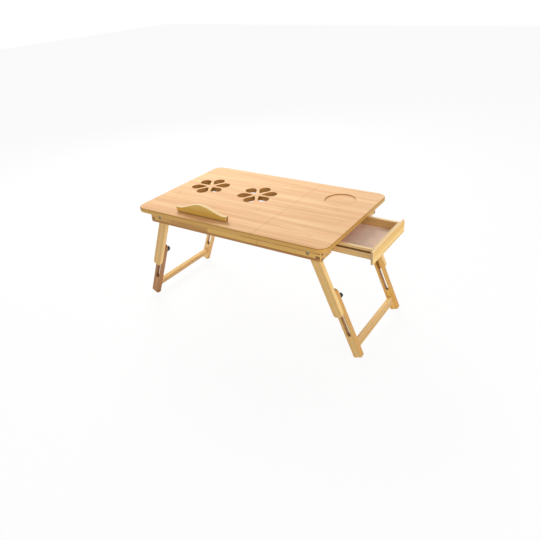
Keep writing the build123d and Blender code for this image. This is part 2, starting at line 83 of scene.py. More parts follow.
class DeskSizes(bpy.types.PropertyGroup):
    """Sizes of the grain and of the fittings that the solids leave plain"""

    top_face: FloatProperty(
        name="Top face", default=0.302, unit="LENGTH",
        description="Height of the upper face of the top")
    veneer: FloatProperty(
        name="Face layer", default=0.0018, unit="LENGTH",
        description="Thickness of the upper layer of the top, down to its glue line")
    glue_line: FloatProperty(
        name="Glue line", default=0.0012, unit="LENGTH",
        description="Half the width of the glue line that shows in the top's edge")
    # painted shadow: height of the shadow painted along the foot of the stop bar
    bar_shadow: FloatProperty(
        name="Bar shadow", default=0.0042, unit="LENGTH",
        description="Height of the dark line along the foot of the stop bar")
    # painted shade: how far from a wall the shade painted inside slots and grooves reaches
    hollow_shade: FloatProperty(
        name="Hollow", default=0.012, unit="LENGTH",
        description="Width of the slots and grooves that are darker inside")
    top_strip: FloatProperty(
        name="Top strip", default=0.019, unit="LENGTH",
        description="Width of one bamboo strip in the top")
    rail_strip: FloatProperty(
        name="Rail strip", default=0.011, unit="LENGTH",
        description="Width of one bamboo strip in rails and drawer")
    leg_strip: FloatProperty(
        name="Leg strip", default=0.008, unit="LENGTH",
        description="Width of one bamboo strip in the legs")
    joint_spacing: FloatProperty(
        name="Culm joint spacing", default=0.26, unit="LENGTH",
        description="Distance between two joints of one culm")
    bolt_head: FloatProperty(
        name="Bolt head", default=0.009, unit="LENGTH",
        description="Diameter of the pivot bolts' heads")
    bolt_head_thick: FloatProperty(
        name="Bolt head thickness", default=0.003, unit="LENGTH",
        description="Thickness of a pivot bolt's head")
    bolt_shank: FloatProperty(
        name="Bolt shank", default=0.006, unit="LENGTH",
        description="Diameter of the pivot bolts")
    bolt_socket: FloatProperty(
        name="Bolt socket", default=0.0042, unit="LENGTH",
        description="Width across the flats of the hex socket")
    bolt_socket_depth: FloatProperty(
        name="Bolt socket depth", default=0.002, unit="LENGTH",
        description="Depth of the hex socket")
    screw_head: FloatProperty(
        name="Screw head", default=0.0062, unit="LENGTH",
        description="Diameter of the countersunk wood screws")
    screw_proud: FloatProperty(
        name="Screw height", default=0.0003, unit="LENGTH",
        description="Height of a wood screw's head above the bamboo")
    hinge_screw_head: FloatProperty(
        name="Hinge screw head", default=0.0046, unit="LENGTH",
        description="Diameter of the screws in the hinge leaves")
    knob_length: FloatProperty(
        name="Knob length", default=0.019, unit="LENGTH",
        description="Clamping knob without its stud")
    knob_collar: FloatProperty(
        name="Knob collar", default=0.0025, unit="LENGTH",
        description="Thickness of the collar under the grip")
    knob_stud: FloatProperty(
        name="Knob stud", default=0.008, unit="LENGTH",
        description="Diameter of a knob's stud")
    flower_left: FloatProperty(
        name="Left flower", default=-0.19824, unit="LENGTH",
        description="Middle of the left flower vent along the desk")
    flower_right: FloatProperty(
        name="Right flower", default=-0.04299, unit="LENGTH",
        description="Middle of the right flower vent along the desk")
    flower_y: FloatProperty(
        name="Flower depth", default=0.029, unit="LENGTH",
        description="Middle of the flower vents across the desk")
    flower_radius: FloatProperty(
        name="Flower radius", default=0.0535, unit="LENGTH",
        description="Middle of a flower vent to just past its petals")
    cup_x: FloatProperty(
        name="Cup recess", default=0.17101, unit="LENGTH",
        description="Middle of the cup recess along the desk")
    cup_y: FloatProperty(
        name="Cup depth", default=0.088, unit="LENGTH",
        description="Middle of the cup recess across the desk")
    cup_radius: FloatProperty(
        name="Cup radius", default=0.041, unit="LENGTH",
        description="Middle of the cup recess to just past its wall")
    knob_lobes: IntProperty(
        name="Knob lobes", default=5, description="Lobes around a clamping knob")


class DeskColours(bpy.types.PropertyGroup):
    """Colours of the desk as sRGB hex values"""

    top_pale: StringProperty(
        name="Top, pale", default="#F6CB96", description="Palest streaks of the top")
    top_deep: StringProperty(
        name="Top, deep", default="#DFA974", description="Deepest streaks of the top")
    top_rose: StringProperty(
        name="Top, rosy", default="#EDB685", description="Rosy streaks of the top")
    top_edge: StringProperty(
        name="Top, edge", default="#C69838", description="Rounded edge of the top")
    burnt: StringProperty(
        name="Burnt edge", default="#A06A26", description="Burnt walls of the sawn petals")
    # painted shade: the dark brown painted inside slots, grooves and holes, and as the shadow along the foot
    # of the stop bar
    shaded: StringProperty(
        name="Shaded", default="#6B3A0A", description="Inside of slots, grooves and holes")
    rail_pale: StringProperty(
        name="Rail, pale", default="#DCB25E", description="Palest streaks of the rails")
    rail_deep: StringProperty(
        name="Rail, deep", default="#A97437", description="Deepest streaks of the rails")
    bar_pale: StringProperty(
        name="Bar, pale", default="#E6BE62", description="Palest streaks of the stop bar")
    bar_deep: StringProperty(
        name="Bar, deep", default="#D3A646", description="Deepest streaks of the stop bar")
    # painted highlight: the crest of the stop bar, painted lighter as if lit
    bar_crest_highlight: StringProperty(
        name="Bar, edge", default="#FADDAC", description="Upper edge of the stop bar")
    leg_pale: StringProperty(
        name="Leg, pale", default="#EBC684", description="Palest streaks of the upper legs")
    leg_deep: StringProperty(
        name="Leg, deep", default="#D8AC66", description="Deepest streaks of the upper legs")
    leg_left_pale: StringProperty(
        name="Left leg, pale", default="#E2BA78", description="Palest streaks of the left upper legs")
    leg_left_deep: StringProperty(
        name="Left leg, deep", default="#CFA25C", description="Deepest streaks of the left upper legs")
    leg_low_pale: StringProperty(
        name="Lower leg, pale", default="#E8BC66", description="Palest streaks of the lower legs")
    leg_low_deep: StringProperty(
        name="Lower leg, deep", default="#CC9742", description="Deepest streaks of the lower legs")
    leg_low_side: StringProperty(
        name="Lower leg, side", default="#C59045", description="Narrow sides of the lower legs")
    leg_brown_pale: StringProperty(
        name="Brown leg, pale", default="#BE8A55", description="Palest streaks of the browner lower leg")
    leg_brown_deep: StringProperty(
        name="Brown leg, deep", default="#9E6938", description="Deepest streaks of the browner lower leg")
    box_pale: StringProperty(
        name="Drawer box, pale", default="#DDB679", description="Palest streaks of the drawer's walls")
    box_deep: StringProperty(
        name="Drawer box, deep", default="#BF9252", description="Deepest streaks of the drawer's walls")
    box_edge: StringProperty(
        name="Drawer box, edge", default="#F6D6A4", description="Upper edges of the drawer's walls")
    plate_pale: StringProperty(
        name="Plate, pale", default="#EBC479", description="Palest streaks of the drawer's plate")
    plate_deep: StringProperty(
        name="Plate, deep", default="#D8A84E", description="Deepest streaks of the drawer's plate")
    leg_fair_pale: StringProperty(
        name="Fair leg, pale", default="#F8D494", description="Palest streaks of the fairer lower leg")
    leg_fair_deep: StringProperty(
        name="Fair leg, deep", default="#ECC07C", description="Deepest streaks of the fairer lower leg")
    culm_joint: StringProperty(
        name="Culm joint", default="#9C6830", description="Brown of the joints of the culm")
    end_grain: StringProperty(
        name="End grain", default="#7A4C20", description="Cut ends of the strips")
    pore: StringProperty(
        name="Pore", default="#1E1208", description="Dark dots of the fibres in a cut end")
    drawer_board: StringProperty(
        name="Drawer board", default="#F4D6C0", description="Hardboard floor of the drawer")
    steel: StringProperty(
        name="Steel", default="#B5A88F", description="Zinc-plated steel")
    black: StringProperty(
        name="Knob black", default="#141517", description="Moulded knobs")
    nylon: StringProperty(
        name="Nylon", default="#DAD7CC", description="Clips of the prop")
    floor: StringProperty(
        name="Floor", default="#F4F4F3", description="Studio floor")


# Materials


def linear(hex_text):
    """An sRGB hex value as linear RGBA."""
    parts = [int(hex_text[i:i + 2], 16) / 255 for i in (1, 3, 5)]
    return [c / 12.92 if c <= 0.04045 else ((c + 0.055) / 1.055) ** 2.4 for c in parts] + [1.0]


def fill(tree, socket, value):
    """Sets an input, or links it where the value is the socket that feeds it."""
    if isinstance(value, bpy.types.NodeSocket):
        tree.links.new(value, socket)
    else:
        socket.default_value = value


def add(tree, kind, inputs=(), **settings):
    """Adds a shader node with its settings and returns its outputs.

    inputs has a value or a socket for each input in turn, or for each input that it names.
    """
    node = tree.nodes.new("ShaderNode" + kind)
    for key, value in settings.items():
        setattr(node, key, value)
    for key, value in inputs.items() if isinstance(inputs, dict) else enumerate(inputs):
        fill(tree, node.inputs[key], value)
    return node.outputs


def new_material(name):
    """A material with an empty shader, its node tree and the shader."""
    material = bpy.data.materials.new(name)
    material.use_nodes = True
    return material, material.node_tree, material.node_tree.nodes["Principled BSDF"]


def feed(tree, shader, **sockets):
    """Fills the shader's inputs, named with underscores for spaces."""
    for key, value in sockets.items():
        fill(tree, shader.inputs[key.replace("_", " ")], value)


def bamboo(name, pale, deep, flank_and_highlight, strip, turn=(0, 0, 0), on_edge=True, start=0.0, contrast=1.0,
           strips_differ=0.22, length=4.0, marks=1.0, ends=0.85, rose=None, seam=None, burnt=()):
    """Laminated bamboo under satin lacquer. The eye sees long soft streaks, glued strips that differ a little
    in tone, brown joints of the culm where a strip crosses one, and dark dots on a cut end.

    turn brings the grain to X, on_edge stacks the strips along Z instead of Y, and start moves the first glue
    line. length is that of one strip before the next is butted to it. marks and ends are how strongly the
    culm joints and the cut ends show. seam is the height, the fade and the colour of a dark line: in the
    top's edge a glue line, and on the stop bar a painted shadow along its foot. burnt holds the middles of
    the sawn flowers, whose walls the saw browned.
    """
    sizes, colours = bpy.context.scene.desk_sizes, bpy.context.scene.desk_colours
    material, tree, shader = new_material(name)
    put = partial(add, tree)
    here = put("TexCoord")
    laid = put("Mapping", {"Vector": here["Object"], "Rotation": turn})[0]
    facing = put("Mapping", {"Vector": here["Normal"], "Rotation": turn}, vector_type="VECTOR")[0]
    along, y, z = put("SeparateXYZ", [laid])
    face_end, face_y, face_z = put("SeparateXYZ", [facing])
    across, depth, face = (z, y, face_y) if on_edge else (y, z, face_z)

    def streaks(kind, shift, detail):
        """Noise drawn out along the grain."""
        long, wide = STREAKS[kind]
        u = put("Math", (along, 1 / long, shift), operation="MULTIPLY_ADD")[0]
        v = put("Math", (across, 1 / wide), operation="MULTIPLY")[0]
        w = put("Math", (depth, 1 / wide), operation="MULTIPLY")[0]
        vector = put("CombineXYZ", (u, v, w))[0]
        return put("TexNoise", {"Vector": vector, "Scale": 1.0, "Detail": detail, "Roughness": 0.55})["Fac"]

    # each strip has its own tone, phase and place for its culm joints
    strips = put("Math", (across, 1 / strip, start), operation="MULTIPLY_ADD")[0]
    number = put("Math", [strips], operation="FLOOR")[0]
    layers = put("Math", (depth, 1 / (STRIP_DEPTH * strip), 0.37), operation="MULTIPLY_ADD")[0]
    layer = put("Math", [layers], operation="FLOOR")[0]
    key = put("CombineXYZ", (number, layer, 0.5))[0]
    luck = put("TexWhiteNoise", {"Vector": key}, noise_dimensions="3D")["Color"]
    own_phase, own_place, own_marks = put("SeparateXYZ", [luck])
    pieces = put("Math", (along, 1 / length, own_place), operation="MULTIPLY_ADD")[0]
    butted = put("Math", [pieces], operation="FLOOR")[0]
    own = put("CombineXYZ", (number, layer, butted))[0]
    tone = put("TexWhiteNoise", {"Vector": own}, noise_dimensions="3D")["Value"]
    phase = put("Math", (own_phase, 37.0), operation="MULTIPLY")[0]

    # the streaks run from pale to deep: broad ones through all the strips, the others in each strip by itself
    broad = put("Math", (streaks("broad", 3.1, 1.0), 0.65), operation="MULTIPLY")[0]
    coarse = streaks("coarse", phase, 3.0)
    fine = streaks("fine", phase, 2.0)
    fibres = put("Math", (coarse, 0.95, broad), operation="MULTIPLY_ADD")[0]
    toned = put("Math", (tone, strips_differ, fibres), operation="MULTIPLY_ADD")[0]
    middle, reach = 0.8 + strips_differ / 2, 0.36 / contrast
    share = put("MapRange", (toned, middle - reach, middle + reach), **SMOOTH)[0]
    colour = put("Mix", {0: share, 6: linear(pale), 7: linear(deep)}, **COLOUR)[2]

    # each coat is a colour and its share, laid over those before it; rosy streaks and fine fibres come first
    coats = []
    if rose:
        share = put("MapRange", (streaks("rosy", 8.3, 2.0), 0.5, 0.68, 0.0, 0.8), **SMOOTH)[0]
        coats.append((linear(rose), share))
    coats.append((linear(deep), put("MapRange", (fine, 0.55, 0.8, 0.0, 0.18 * contrast), **SMOOTH)[0]))

    # joints of the culm: a faint ring, and short brown flecks drawn out along the grain beside it
    spacing = sizes.joint_spacing
    cell = put("Math", (along, 1 / spacing, own_place), operation="MULTIPLY_ADD")[0]
    cell = put("Math", [cell], operation="FRACT")[0]
    off = put("Math", (cell, spacing, -(spacing + JOINT_SWAY) / 2), operation="MULTIPLY_ADD")[0]
    off = put("Math", (fine, JOINT_SWAY, off), operation="MULTIPLY_ADD")[0]
    off = put("Math", [off], operation="ABSOLUTE")[0]
    ring = put("MapRange", (off, *JOINT_RING, 0.4, 0.0), **SMOOTH)[0]
    beside = put("MapRange", (off, *JOINT_FLECKS, 0.5, 0.0), **SMOOTH)[0]
    flecks = put("MapRange", (coarse, 0.46, 0.66), **SMOOTH)[0]
    flecks = put("Math", (beside, flecks), operation="MULTIPLY")[0]
    brown = put("Math", (ring, flecks), operation="MAXIMUM")[0]
    shown = put("MapRange", (own_marks, 0.35, 0.45, 0.0, marks), **SMOOTH)[0]
    coats.append((linear(colours.culm_joint), put("Math", (brown, shown), operation="MULTIPLY")[0]))

    # glue between the strips
    line = put("Math", (strips, 0.5), operation="PINGPONG")[0]
    coats.append((linear(deep), put("MapRange", (line, 0.0, GLUE_LINE / strip, 0.25, 0.0), **SMOOTH)[0]))

    # the narrow sides of the strips have another tone; on the stop bar it is a painted highlight along the
    # crest
    aside = put("Math", [face], operation="ABSOLUTE")[0]
    aside = put("MapRange", (aside, 0.7, 0.88, 1.0, 0.0), **SMOOTH)[0]
    coats.append((linear(flank_and_highlight), put("Math", (aside, 0.8), operation="MULTIPLY")[0]))
    flat = put("CombineXYZ", (along, y, 0.0))[0]

    def inside(place, radius, most):
        """The walls within a radius of a place on the top, as a share of up to most."""
        away = put("VectorMath", (flat, place), operation="DISTANCE")["Value"]
        near = put("MapRange", (away, radius, radius + 0.001, most, 0.0), **SMOOTH)[0]
        return put("Math", (near, aside), operation="MULTIPLY")[0]

    # a dark line at a height: on the top it is the glue line in the edge, on the stop bar a painted shadow
    # along its foot
    if seam:
        height, fade, dark = seam
        above = put("Math", (height, z), operation="SUBTRACT")[0]
        above = put("Math", [above], operation="ABSOLUTE")[0]
        glue = put("MapRange", (above, 0.0, fade, 0.95, 0.0), **SMOOTH)[0]
        if not on_edge:
            # it shows in the outer edges, and the wall of the cup recess was sanded clean of it
            sanded = inside((sizes.cup_x, sizes.cup_y, 0), sizes.cup_radius, 1.0)
            edges = put("Math", (aside, sanded), operation="SUBTRACT")[0]
            glue = put("Math", (glue, edges), operation="MULTIPLY")[0]
        coats.append((linear(dark), glue))
    coats += [(linear(colours.burnt), inside(flower, sizes.flower_radius, 0.8)) for flower in burnt]

    # a cut end is brown with the dark dots of its fibres
    dots = put("TexVoronoi", {"Vector": laid, "Scale": PORES})["Distance"]
    dots = put("MapRange", (dots, 0.25, 0.5, 0.45, 0.0), **SMOOTH)[0]
    cut = put("Mix", {0: dots, 6: linear(colours.end_grain), 7: linear(colours.pore)}, **COLOUR)[2]
    ended = put("Math", [face_end], operation="ABSOLUTE")[0]
    coats.append((cut, put("MapRange", (ended, 0.8, 0.95, 0.0, ends), **SMOOTH)[0]))

    # painted shade: slots, grooves and sawn holes of a piece are darkened inside by their own ambient
    # occlusion
    hollow_shade = put("AmbientOcclusion", {"Distance": sizes.hollow_shade}, only_local=True, samples=8)["AO"]
    coats.append((linear(colours.shaded), put("MapRange", (hollow_shade, 0.3, 0.85, 0.85, 0.0), **SMOOTH)[0]))
    for coat, share in coats:
        colour = put("Mix", {0: share, 6: colour, 7: coat}, **COLOUR)[2]

    relief = put("Math", (coarse, 0.7), operation="MULTIPLY")[0]
    relief = put("Math", (fine, 0.3, relief), operation="MULTIPLY_ADD")[0]
    bump = put("Bump", {"Height": relief, "Strength": 0.2, "Distance": RELIEF})[0]
    gloss = put("MapRange", (coarse, 0.3, 0.7, 0.38, 0.5), **SMOOTH)[0]
    feed(tree, shader, Base_Color=colour, Roughness=gloss, Normal=bump, IOR=1.45, Coat_Weight=0.1,
         Coat_Roughness=0.25)
    return material


def speckled(name, colour, grain, roughness, bump_depth, spread, metallic=0.0):
    """A plain material whose tone, gloss and relief all follow one grain of a real size in metres."""
    material, tree, shader = new_material(name)
    put = partial(add, tree)
    here = put("TexCoord")["Object"]
    noise = put("TexNoise", {"Vector": here, "Scale": 1 / grain, "Detail": 4.0, "Roughness": 0.6})["Fac"]
    cloud = put("TexNoise", {"Vector": here, "Scale": 0.06 / grain, "Detail": 2.0, "Roughness": 0.5})["Fac"]
    tone = put("Math", (noise, cloud), operation="MULTIPLY")[0]
    share = put("MapRange", (tone, 0.12, 0.42))[0]
    base = linear(colour)[:3]
    dark, light = ([min(c * factor, 1.0) for c in base] + [1.0] for factor in (1 - spread, 1 + spread))
    shade = put("Mix", {0: share, 6: dark, 7: light}, **COLOUR)[2]
    gloss = put("MapRange", (noise, 0.0, 1.0, roughness - 0.08, roughness + 0.08))[0]
    bump = put("Bump", {"Height": noise, "Strength": 0.3, "Distance": bump_depth})[0]
    feed(tree, shader, Base_Color=shade, Roughness=gloss, Normal=bump, Metallic=metallic)
    return material


def kept(name, make):
    """The material of that name, made the first time it is asked for."""
    return bpy.data.materials.get(name) or make(name)


def steel():
    """Zinc-plated steel: bright, faintly mottled by the plating."""
    colours = bpy.context.scene.desk_colours
    return kept("zinc plated steel", lambda name: speckled(
        name, colours.steel, grain=0.0009, roughness=0.32, bump_depth=0.00003, spread=0.1, metallic=1.0))


def black_abs():
    """Moulded ABS, spark-eroded to a fine matt grit."""
    colours = bpy.context.scene.desk_colours
    return kept("black moulded ABS", lambda name: speckled(
        name, colours.black, grain=0.0006, roughness=0.46, bump_depth=0.00005, spread=0.35))


def dress(material, *names):
    """Gives the solids of those nodes a material."""
    for name in names:
        for slot in frame["nodes"][name].material_slots:
            slot.material = material


# Modelling


def start_clean():
    """Nothing is selected, so that an operator acts on the new piece alone."""
    if bpy.context.object and bpy.context.object.mode != "OBJECT":
        bpy.ops.object.mode_set(mode="OBJECT")
    bpy.ops.object.select_all(action="DESELECT")


def turned(profile, sides=40):
    """A closed turned shape along Z; each step of the profile is a radius and a height."""
    start_clean()
    (radius, z), *steps = profile
    bpy.ops.mesh.primitive_circle_add(vertices=sides, radius=radius, fill_type="NGON", location=(0, 0, z))
    bpy.ops.object.mode_set(mode="EDIT")
    bpy.ops.mesh.select_all(action="SELECT")
    for wide, high in steps:
        bpy.ops.mesh.extrude_region_move(TRANSFORM_OT_translate={"value": (0, 0, high - z)})
        share = wide / radius
        bpy.ops.transform.resize(value=(share, share, 1), center_override=(0, 0, high))
        radius, z = wide, high
    bpy.ops.mesh.select_all(action="SELECT")
    bpy.ops.mesh.normals_make_consistent(inside=False)
    bpy.ops.object.mode_set(mode="OBJECT")
    bpy.ops.object.transform_apply(location=True, rotation=True, scale=True)
    return bpy.context.object


def carve(piece, cutter):
    """Cuts one mesh out of a piece and removes the cutter."""
    bpy.context.view_layer.objects.active = piece
    cut = piece.modifiers.new("carve", "BOOLEAN")
    cut.object, cut.solver = cutter, "EXACT"
    bpy.ops.object.modifier_apply(modifier=cut.name)
    bpy.data.objects.remove(cutter)


def cut_cross(piece, top, span, width, depth):
    """Sinks a cross for a screwdriver into the upper end of a turned piece."""
    start_clean()
    taper = 0.6  # the bottom of the cross, as a share of its top
    cutters = []
    for size in ((span, width), (width, span)):
        bpy.ops.mesh.primitive_cube_add(size=1, location=(0, 0, top))
        bpy.ops.transform.resize(value=(*size, 2 * depth))
        bpy.ops.object.mode_set(mode="EDIT")
        bpy.ops.mesh.select_mode(type="FACE")
        bpy.ops.mesh.select_all(action="DESELECT")
        bpy.ops.object.mode_set(mode="OBJECT")
        for polygon in bpy.context.object.data.polygons:
            polygon.select = polygon.normal.z < -0.5
        bpy.ops.object.mode_set(mode="EDIT")
        bpy.ops.transform.resize(value=(taper, taper, 1), center_override=(0, 0, top - depth))
        bpy.ops.object.mode_set(mode="OBJECT")
        cutters.append(bpy.context.object)
    for cutter in cutters:
        carve(piece, cutter)


def smooth(piece, angle=32):
    """Shades the piece smooth, except at edges sharper than the angle in degrees."""
    start_clean()
    piece.select_set(True)
    bpy.context.view_layer.objects.active = piece
    bpy.ops.object.shade_smooth_by_angle(angle=radians(angle))


def placed(source, name, matrix, material, body):
    """A copy of a modelled piece with its own mesh, its place in the mesh, riding on a body."""
    piece = bpy.data.objects.new(name, source.data.copy())
    bpy.context.scene.collection.objects.link(piece)
    piece.data.transform(matrix)
    piece.data.materials.clear()
    piece.data.materials.append(material)
    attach(piece, body)
    return piece


def pointing(place, direction):
    """A matrix that puts a piece modelled along Z at a place, with Z along a direction."""
    return Matrix.Translation(place) @ Vector(direction).to_track_quat("Z", "Y").to_matrix().to_4x4()


def screw_head(diameter, proud):
    """A countersunk head with a cross, whose upper face is that far above Z 0."""
    half, rim = diameter / 2, 0.0002
    head = turned([(half * 0.55, -half * 0.7), (half, -rim), (half, proud * 0.4), (half * 0.9, proud)], 28)
    cut_cross(head, proud, half * 1.15, half * 0.28, half * 0.55)
    smooth(head)
    return head


def screws(source, body, material, places, direction):
    """One screw at each named place."""
    for name, place in places.items():
        placed(source, name, pointing(place, direction), material, body)


class DESK_OT_top(bpy.types.Operator):
    """Lacquers the tilting panel and the fixed top, with the strips along the desk"""

    bl_idname = "desk.top"
    bl_label = "Top"

    def execute(self, context):
        sizes, colours = context.scene.desk_sizes, context.scene.desk_colours
        flowers = [(x, sizes.flower_y, 0) for x in (sizes.flower_left, sizes.flower_right)]
        board = bamboo("bamboo board, satin lacquer", colours.top_pale, colours.top_deep, colours.top_edge,
                       sizes.top_strip, on_edge=False, strips_differ=0.35, marks=0.3, ends=0.15,
                       rose=colours.top_rose, burnt=flowers,
                       seam=(sizes.top_face - sizes.veneer, sizes.glue_line, colours.burnt))
        dress(board, "tilt_panel", "fixed_top")
        return {"FINISHED"}


class DESK_OT_rails(bpy.types.Operator):
    """Lacquers the rails, the strips under the top and the stop bar"""

    bl_idname = "desk.rails"
    bl_label = "Rails and stop bar"

    def execute(self, context):
        sizes, colours = context.scene.desk_sizes, context.scene.desk_colours
        tones = (colours.rail_pale, colours.rail_deep, colours.rail_pale, sizes.rail_strip)
        patchy = {"strips_differ": 0.9, "length": 0.34}
        lengthwise = bamboo("bamboo rail, grain along the desk", *tones, **patchy)
        crosswise = bamboo("bamboo rail, grain across the desk", *tones, turn=ACROSS, start=3.4, **patchy)
        dress(lengthwise, "front_rail", "back_rail", "drawer_runner_front", "drawer_runner_back")
        dress(crosswise, "left_end_rail", "right_end_rail_front", "right_end_rail_back", "seam_rail",
              "notched_strip_left", "notched_strip_right")
        # painted highlight: the stop bar's crest is painted lighter as a highlight
        bar = bamboo("bamboo stop bar", colours.bar_pale, colours.bar_deep, colours.bar_crest_highlight,
                     # its seam is a painted shadow along the bar's foot
                     sizes.rail_strip, marks=0.4, seam=(sizes.top_face, sizes.bar_shadow, colours.shaded))
        dress(bar, "stop_bar")
        dress(bamboo("bamboo peg", *tones, turn=(0, pi / 2, 0)), "stop_bar_pegs")
        return {"FINISHED"}


class DESK_OT_legs(bpy.types.Operator):
    """Lacquers the legs, with the strips along each leg, and their stretchers"""

    bl_idname = "desk.legs"
    bl_label = "Legs"

    def execute(self, context):
        sizes, colours = context.scene.desk_sizes, context.scene.desk_colours
        strip = sizes.leg_strip
        upper = {
            "left": (colours.leg_left_pale, colours.leg_left_deep),
            "right": (colours.leg_pale, colours.leg_deep),
        }
        # the lower legs are from culms of different tones
        side_tone = colours.leg_low_side
        lower = {
            "left_front": ("browner", colours.leg_brown_pale, colours.leg_brown_deep, colours.leg_brown_deep),
            "left_back": ("fairer, left", colours.leg_fair_pale, colours.leg_fair_deep, side_tone),
            "right_front": ("fairer, right", colours.leg_pale, colours.leg_deep, side_tone),
            "right_back": ("right", colours.leg_low_pale, colours.leg_low_deep, side_tone),
        }
        across = bamboo("bamboo stretcher", colours.box_pale, colours.box_deep, colours.leg_pale, strip,
                        turn=ACROSS)
        for side in SIDES:
            x, _, z = joints[f"{side}_leg_length"]["axis"]
            turn = Euler((0, atan2(-z, -x), 0))
            pivot = Vector(joints[f"{side}_leg_fold"]["pos_m"])
            pivot.rotate(turn)
            lay = {"turn": tuple(turn), "start": 0.5 - pivot.z / strip}
            whole = bamboo(f"bamboo upper leg, {side}", *upper[side], colours.leg_pale, strip, **lay)
            dress(whole, *[f"{side}_{face}_upper_leg" for face in FACES])
            for face in FACES:
                name, *tones = lower[f"{side}_{face}"]
                dress(bamboo(f"bamboo lower leg, {name}", *tones, strip, **lay), f"{side}_{face}_lower_leg")
            dress(across, f"{side}_stretcher")
        return {"FINISHED"}


class DESK_OT_drawer(bpy.types.Operator):
    """Lacquers the drawer's walls and plate, gives its floor bare hardboard, and screws the plate on"""

    bl_idname = "desk.drawer"
    bl_label = "Drawer"

    def execute(self, context):
        sizes, colours = context.scene.desk_sizes, context.scene.desk_colours
        tones = (colours.box_pale, colours.box_deep, colours.box_edge, sizes.rail_strip)
        dress(bamboo("bamboo drawer side", *tones), "drawer_side_front", "drawer_side_back")
        dress(bamboo("bamboo drawer wall", *tones, turn=ACROSS), "drawer_inner_front", "drawer_back")
        plate = bamboo("bamboo drawer plate", colours.plate_pale, colours.plate_deep, colours.box_edge,
                       sizes.rail_strip, turn=ACROSS, contrast=1.2, ends=0.5)
        dress(plate, "drawer_plate")
        # pressed hardboard: dull, with short felted fibres
        board = speckled("pressed hardboard", colours.drawer_board, grain=0.0012, roughness=0.72,
                         bump_depth=0.00012, spread=0.1)
        dress(board, "drawer_floor")
        low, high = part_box("drawer_inner_front")
        screw = screw_head(sizes.screw_head, sizes.screw_proud)
        middle_z = (low.z + high.z) / 2
        inset = (high.y - low.y) / 5
        places = {f"plate_screw_{i + 1}": (low.x, y, middle_z)
                  for i, y in enumerate((low.y + inset, high.y - inset))}
        screws(screw, "drawer", steel(), places, (-1, 0, 0))
        bpy.data.objects.remove(screw)
        return {"FINISHED"}


class DESK_OT_pivot_bolts(bpy.types.Operator):
    """Models the pivot bolts: a flat head in the rail and a cap in the leg, both with a hex socket"""

    bl_idname = "desk.pivot_bolts"
    bl_label = "Pivot bolts"

    def execute(self, context):
        sizes = context.scene.desk_sizes
        radius, head, shank = sizes.bolt_head / 2, sizes.bolt_head_thick, sizes.bolt_shank / 2
        low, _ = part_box("leg_pivot_bolts")
        dress(steel(), "leg_pivot_washers")
        inner = max(v.co.y for v in frame["nodes"]["leg_pivot_bolts"].data.vertices if v.co.y < 0)
        length = inner - low.y
        round_off = ((0.8, 0.0), (0.94, 0.0003), (1.0, 0.0009))
        ends = [(radius * share, height) for share, height in round_off]
        profile = ends + [(radius, head), (shank, head), (shank, length - head), (radius, length - head)]
        bolt = turned(profile + [(r, length - height) for r, height in reversed(ends)], 48)
        for _ in range(2):
            self.cut_socket(bolt, length, sizes.bolt_socket, sizes.bolt_socket_depth)
            bolt.data.transform(Matrix.Translation((0, 0, length)) @ Matrix.Rotation(pi, 4, "X"))
        smooth(bolt)
        for side in SIDES:
            x, _, z = joints[f"{side}_leg_fold"]["pos_m"]
            for face, way in zip(FACES, (1, -1)):
                matrix = pointing((x, -way * abs(low.y), z), (0, way, 0))
                piece = placed(bolt, f"pivot_bolt_{side}_{face}", matrix, steel(), "frame")
                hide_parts("leg_pivot_bolts")
        bpy.data.objects.remove(bolt)
        return {"FINISHED"}

    def cut_socket(self, bolt, top, flats, depth):
        """Sinks a hex socket into the upper end of the bolt, most of the head deep."""
        start_clean()
        corners = flats / 2 / cos(pi / 6)
        bpy.ops.mesh.primitive_cylinder_add(vertices=6, radius=corners, depth=2 * depth, location=(0, 0, top))
        carve(bolt, bpy.context.object)


